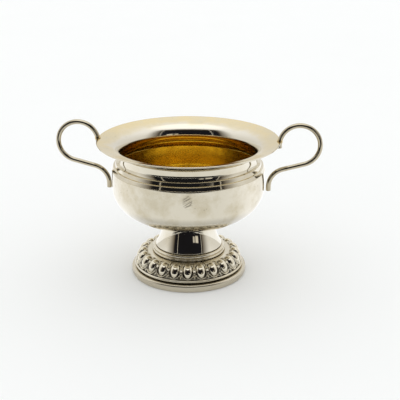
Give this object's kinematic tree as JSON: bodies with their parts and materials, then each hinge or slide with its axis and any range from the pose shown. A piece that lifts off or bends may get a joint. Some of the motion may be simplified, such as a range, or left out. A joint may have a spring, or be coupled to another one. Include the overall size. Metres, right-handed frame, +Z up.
{
  "type": "two-handled sugar bowl",
  "caption": "Footed silver bowl with a flared gilt rim, stepped shoulder, looped wire handles, trumpet stem and an egg-and-dart foot border.",
  "frame": {"origin": "centre of the foot's flat underside, on the bowl's turning axis", "axes": "+Z up along the turning axis, +X towards one handle, -Y towards the front that the worn patch is on"},
  "size_m": [0.159, 0.1092, 0.095],
  "materials": {
    "gilt_rim": "polished silver, gilt over the flare and inside",
    "silver": "polished silver, lightly worn; gilt inside the bowl",
    "relief_silver": "stamped silver, darker in the hollows",
    "wire_silver": "drawn and polished silver wire"
  },
  "bodies": {
    "root": {"rim_collar": "gilt_rim", "shoulder_ring": "silver", "bowl_body": "silver", "stem_top_ring": "silver", "stem": "silver", "stem_collar": "silver", "egg_border": "relief_silver", "foot_bead": "silver", "base_band": "silver", "handle_left": "wire_silver", "handle_right": "wire_silver"}
  },
  "joints": []
}
